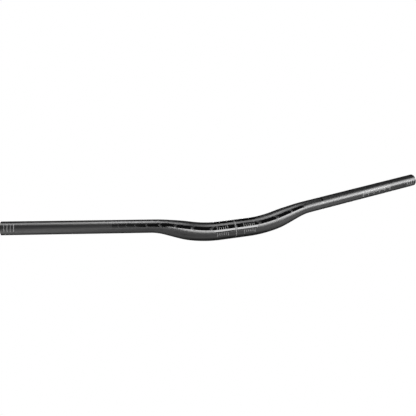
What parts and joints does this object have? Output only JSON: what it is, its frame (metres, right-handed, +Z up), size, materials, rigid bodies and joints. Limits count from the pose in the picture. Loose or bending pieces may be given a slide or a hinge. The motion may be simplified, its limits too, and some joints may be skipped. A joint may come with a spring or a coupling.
{
  "type": "riser handlebar",
  "caption": "One-piece butted aluminium riser handlebar with a straight stem clamp seat and two raised, swept-back arms that taper to plain open grips.",
  "frame": {"origin": "middle of the straight stem clamp seat, on the tube's axis", "axes": "+X along the clamp seat, +Y to the rider, the way the arms sweep back, +Z up, the way the arms rise"},
  "size_m": [0.76, 0.0575, 0.0704],
  "materials": {
    "bar": "bead-blasted and anodised matte black, with gloss black and grey print"
  },
  "bodies": {
    "root": {"handlebar": "bar"}
  },
  "joints": []
}
